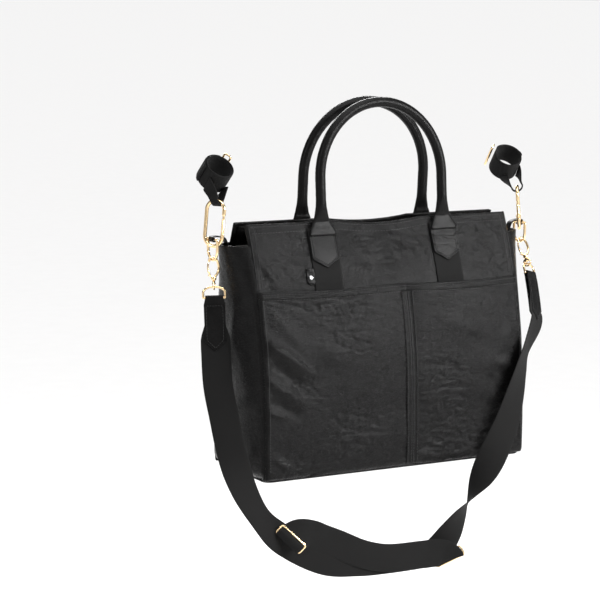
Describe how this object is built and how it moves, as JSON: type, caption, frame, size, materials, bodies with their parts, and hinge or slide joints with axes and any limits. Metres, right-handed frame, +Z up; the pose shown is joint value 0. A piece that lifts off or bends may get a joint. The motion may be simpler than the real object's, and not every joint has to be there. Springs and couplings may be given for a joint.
{
  "type": "diaper bag",
  "caption": "Structured leather tote diaper bag with a split front pocket, rolled handles and a clip-on shoulder strap, hung from a stroller handlebar by webbing straps and carabiners.",
  "frame": {"origin": "midway between the tops of the two carabiners, the line the bag hangs and swings from", "axes": "+X along the stroller handlebar, -Y towards the bag's front with the pocket, +Z up"},
  "size_m": [0.5068, 0.1866, 0.6197],
  "materials": {
    "leather": "pebbled black vegan leather, soft gloss",
    "webbing": "matte black woven webbing",
    "gold_metal": "polished pale gold plating",
    "silver_metal": "satin nickel",
    "lining_cloth": "plain woven lining",
    "board": "stiff base board",
    "cord_core": "braided cotton core"
  },
  "bodies": {
    "stroller_straps": {"stroller_band_left": "webbing", "stroller_band_right": "webbing", "hang_loop_left": "webbing", "hang_loop_right": "webbing", "cinch_ring_left": "gold_metal", "cinch_ring_right": "gold_metal"},
    "carabiners": {"carabiner_left": "gold_metal", "carabiner_right": "gold_metal", "gate_pins": "gold_metal"},
    "link_gate_left": {"carabiner_gate_left": "gold_metal"},
    "link_gate_right": {"carabiner_gate_right": "gold_metal"},
    "bag": {"front_panel": "leather", "back_panel": "leather", "gusset_left": "leather", "gusset_right": "leather", "base_panel": "leather", "base_board": "board", "base_piping": "leather", "lining": "lining_cloth", "facing_front": "leather", "facing_back": "leather", "slip_pocket": "lining_cloth", "snap_front": "gold_metal", "snap_back": "gold_metal", "front_pocket": "leather", "pocket_hem": "leather", "pocket_strip": "leather", "side_tab_left": "leather", "side_tab_right": "leather", "d_ring_left": "gold_metal", "d_ring_right": "gold_metal", "tab_front_left": "leather", "tab_front_right": "leather", "tab_back_left": "leather", "tab_back_right": "leather", "strip_front_left": "webbing", "strip_front_right": "webbing", "strip_back_left": "webbing", "strip_back_right": "webbing", "label_tag": "webbing", "label_rivet": "silver_metal"},
    "front_handle": {"handle_front": "leather", "core_front": "cord_core"},
    "back_handle": {"handle_back": "leather", "core_back": "cord_core"},
    "shoulder_strap": {"strap_webbing": "webbing", "strap_double": "webbing", "strap_end_left": "leather", "strap_end_right": "leather", "strap_ring_left": "gold_metal", "strap_ring_right": "gold_metal", "swivel_eye_left": "gold_metal", "swivel_eye_right": "gold_metal", "slider_left": "gold_metal", "slider_right": "gold_metal"},
    "hook_left": {"snap_hook_left": "gold_metal"},
    "hook_right": {"snap_hook_right": "gold_metal"},
    "trigger_left": {"hook_trigger_left": "gold_metal"},
    "trigger_right": {"hook_trigger_right": "gold_metal"}
  },
  "joints": [
    {"name": "carabiner_swing", "type": "hinge", "parent": "stroller_straps", "child": "carabiners", "pos_m": [0, 0, 0], "axis": [1, 0, 0], "range_deg": [-9, 9]},
    {"name": "bag_swing", "type": "hinge", "parent": "carabiners", "child": "bag", "pos_m": [0, 0, -0.04878], "axis": [1, 0, 0], "range_deg": [-12, 12]},
    {"name": "link_gate_left_open", "type": "hinge", "parent": "carabiners", "child": "link_gate_left", "pos_m": [-0.2262, -0.01024, -0.03948], "axis": [-0.8158, -0.5739, 0.0714], "range_deg": [0, 22], "stiffness_Nm_per_rad": 0.02},
    {"name": "link_gate_right_open", "type": "hinge", "parent": "carabiners", "child": "link_gate_right", "pos_m": [0.2262, -0.01024, -0.03948], "axis": [-0.8158, 0.5739, -0.0714], "range_deg": [0, 22], "stiffness_Nm_per_rad": 0.02},
    {"name": "front_handle_fold", "type": "hinge", "parent": "bag", "child": "front_handle", "pos_m": [0, -0.0264, -0.026], "axis": [1, 0, 0], "range_deg": [0, 110]},
    {"name": "back_handle_fold", "type": "hinge", "parent": "bag", "child": "back_handle", "pos_m": [0, 0.0264, -0.026], "axis": [-1, 0, 0], "range_deg": [0, 110]},
    {"name": "strap_swing", "type": "hinge", "parent": "bag", "child": "shoulder_strap", "pos_m": [0, 0, -0.06278], "axis": [-1, 0, 0], "range_deg": [0, 50]},
    {"name": "hook_left_swivel", "type": "hinge", "parent": "shoulder_strap", "child": "hook_left", "pos_m": [-0.235, 0, -0.06278], "axis": [0, -0.0698, -0.9976], "range_deg": [-18, 18]},
    {"name": "hook_right_swivel", "type": "hinge", "parent": "shoulder_strap", "child": "hook_right", "pos_m": [0.235, 0, -0.06278], "axis": [0, -0.454, -0.891], "range_deg": [-14, 14]},
    {"name": "trigger_left_open", "type": "hinge", "parent": "hook_left", "child": "trigger_left", "pos_m": [-0.2394, -0.0023, -0.0957], "axis": [0, 0.9976, -0.0698], "range_deg": [0, 14], "stiffness_Nm_per_rad": 0.01},
    {"name": "trigger_right_open", "type": "hinge", "parent": "hook_right", "child": "trigger_right", "pos_m": [0.2306, -0.01498, -0.09218], "axis": [0, 0.891, -0.454], "range_deg": [0, 14], "stiffness_Nm_per_rad": 0.01}
  ]
}
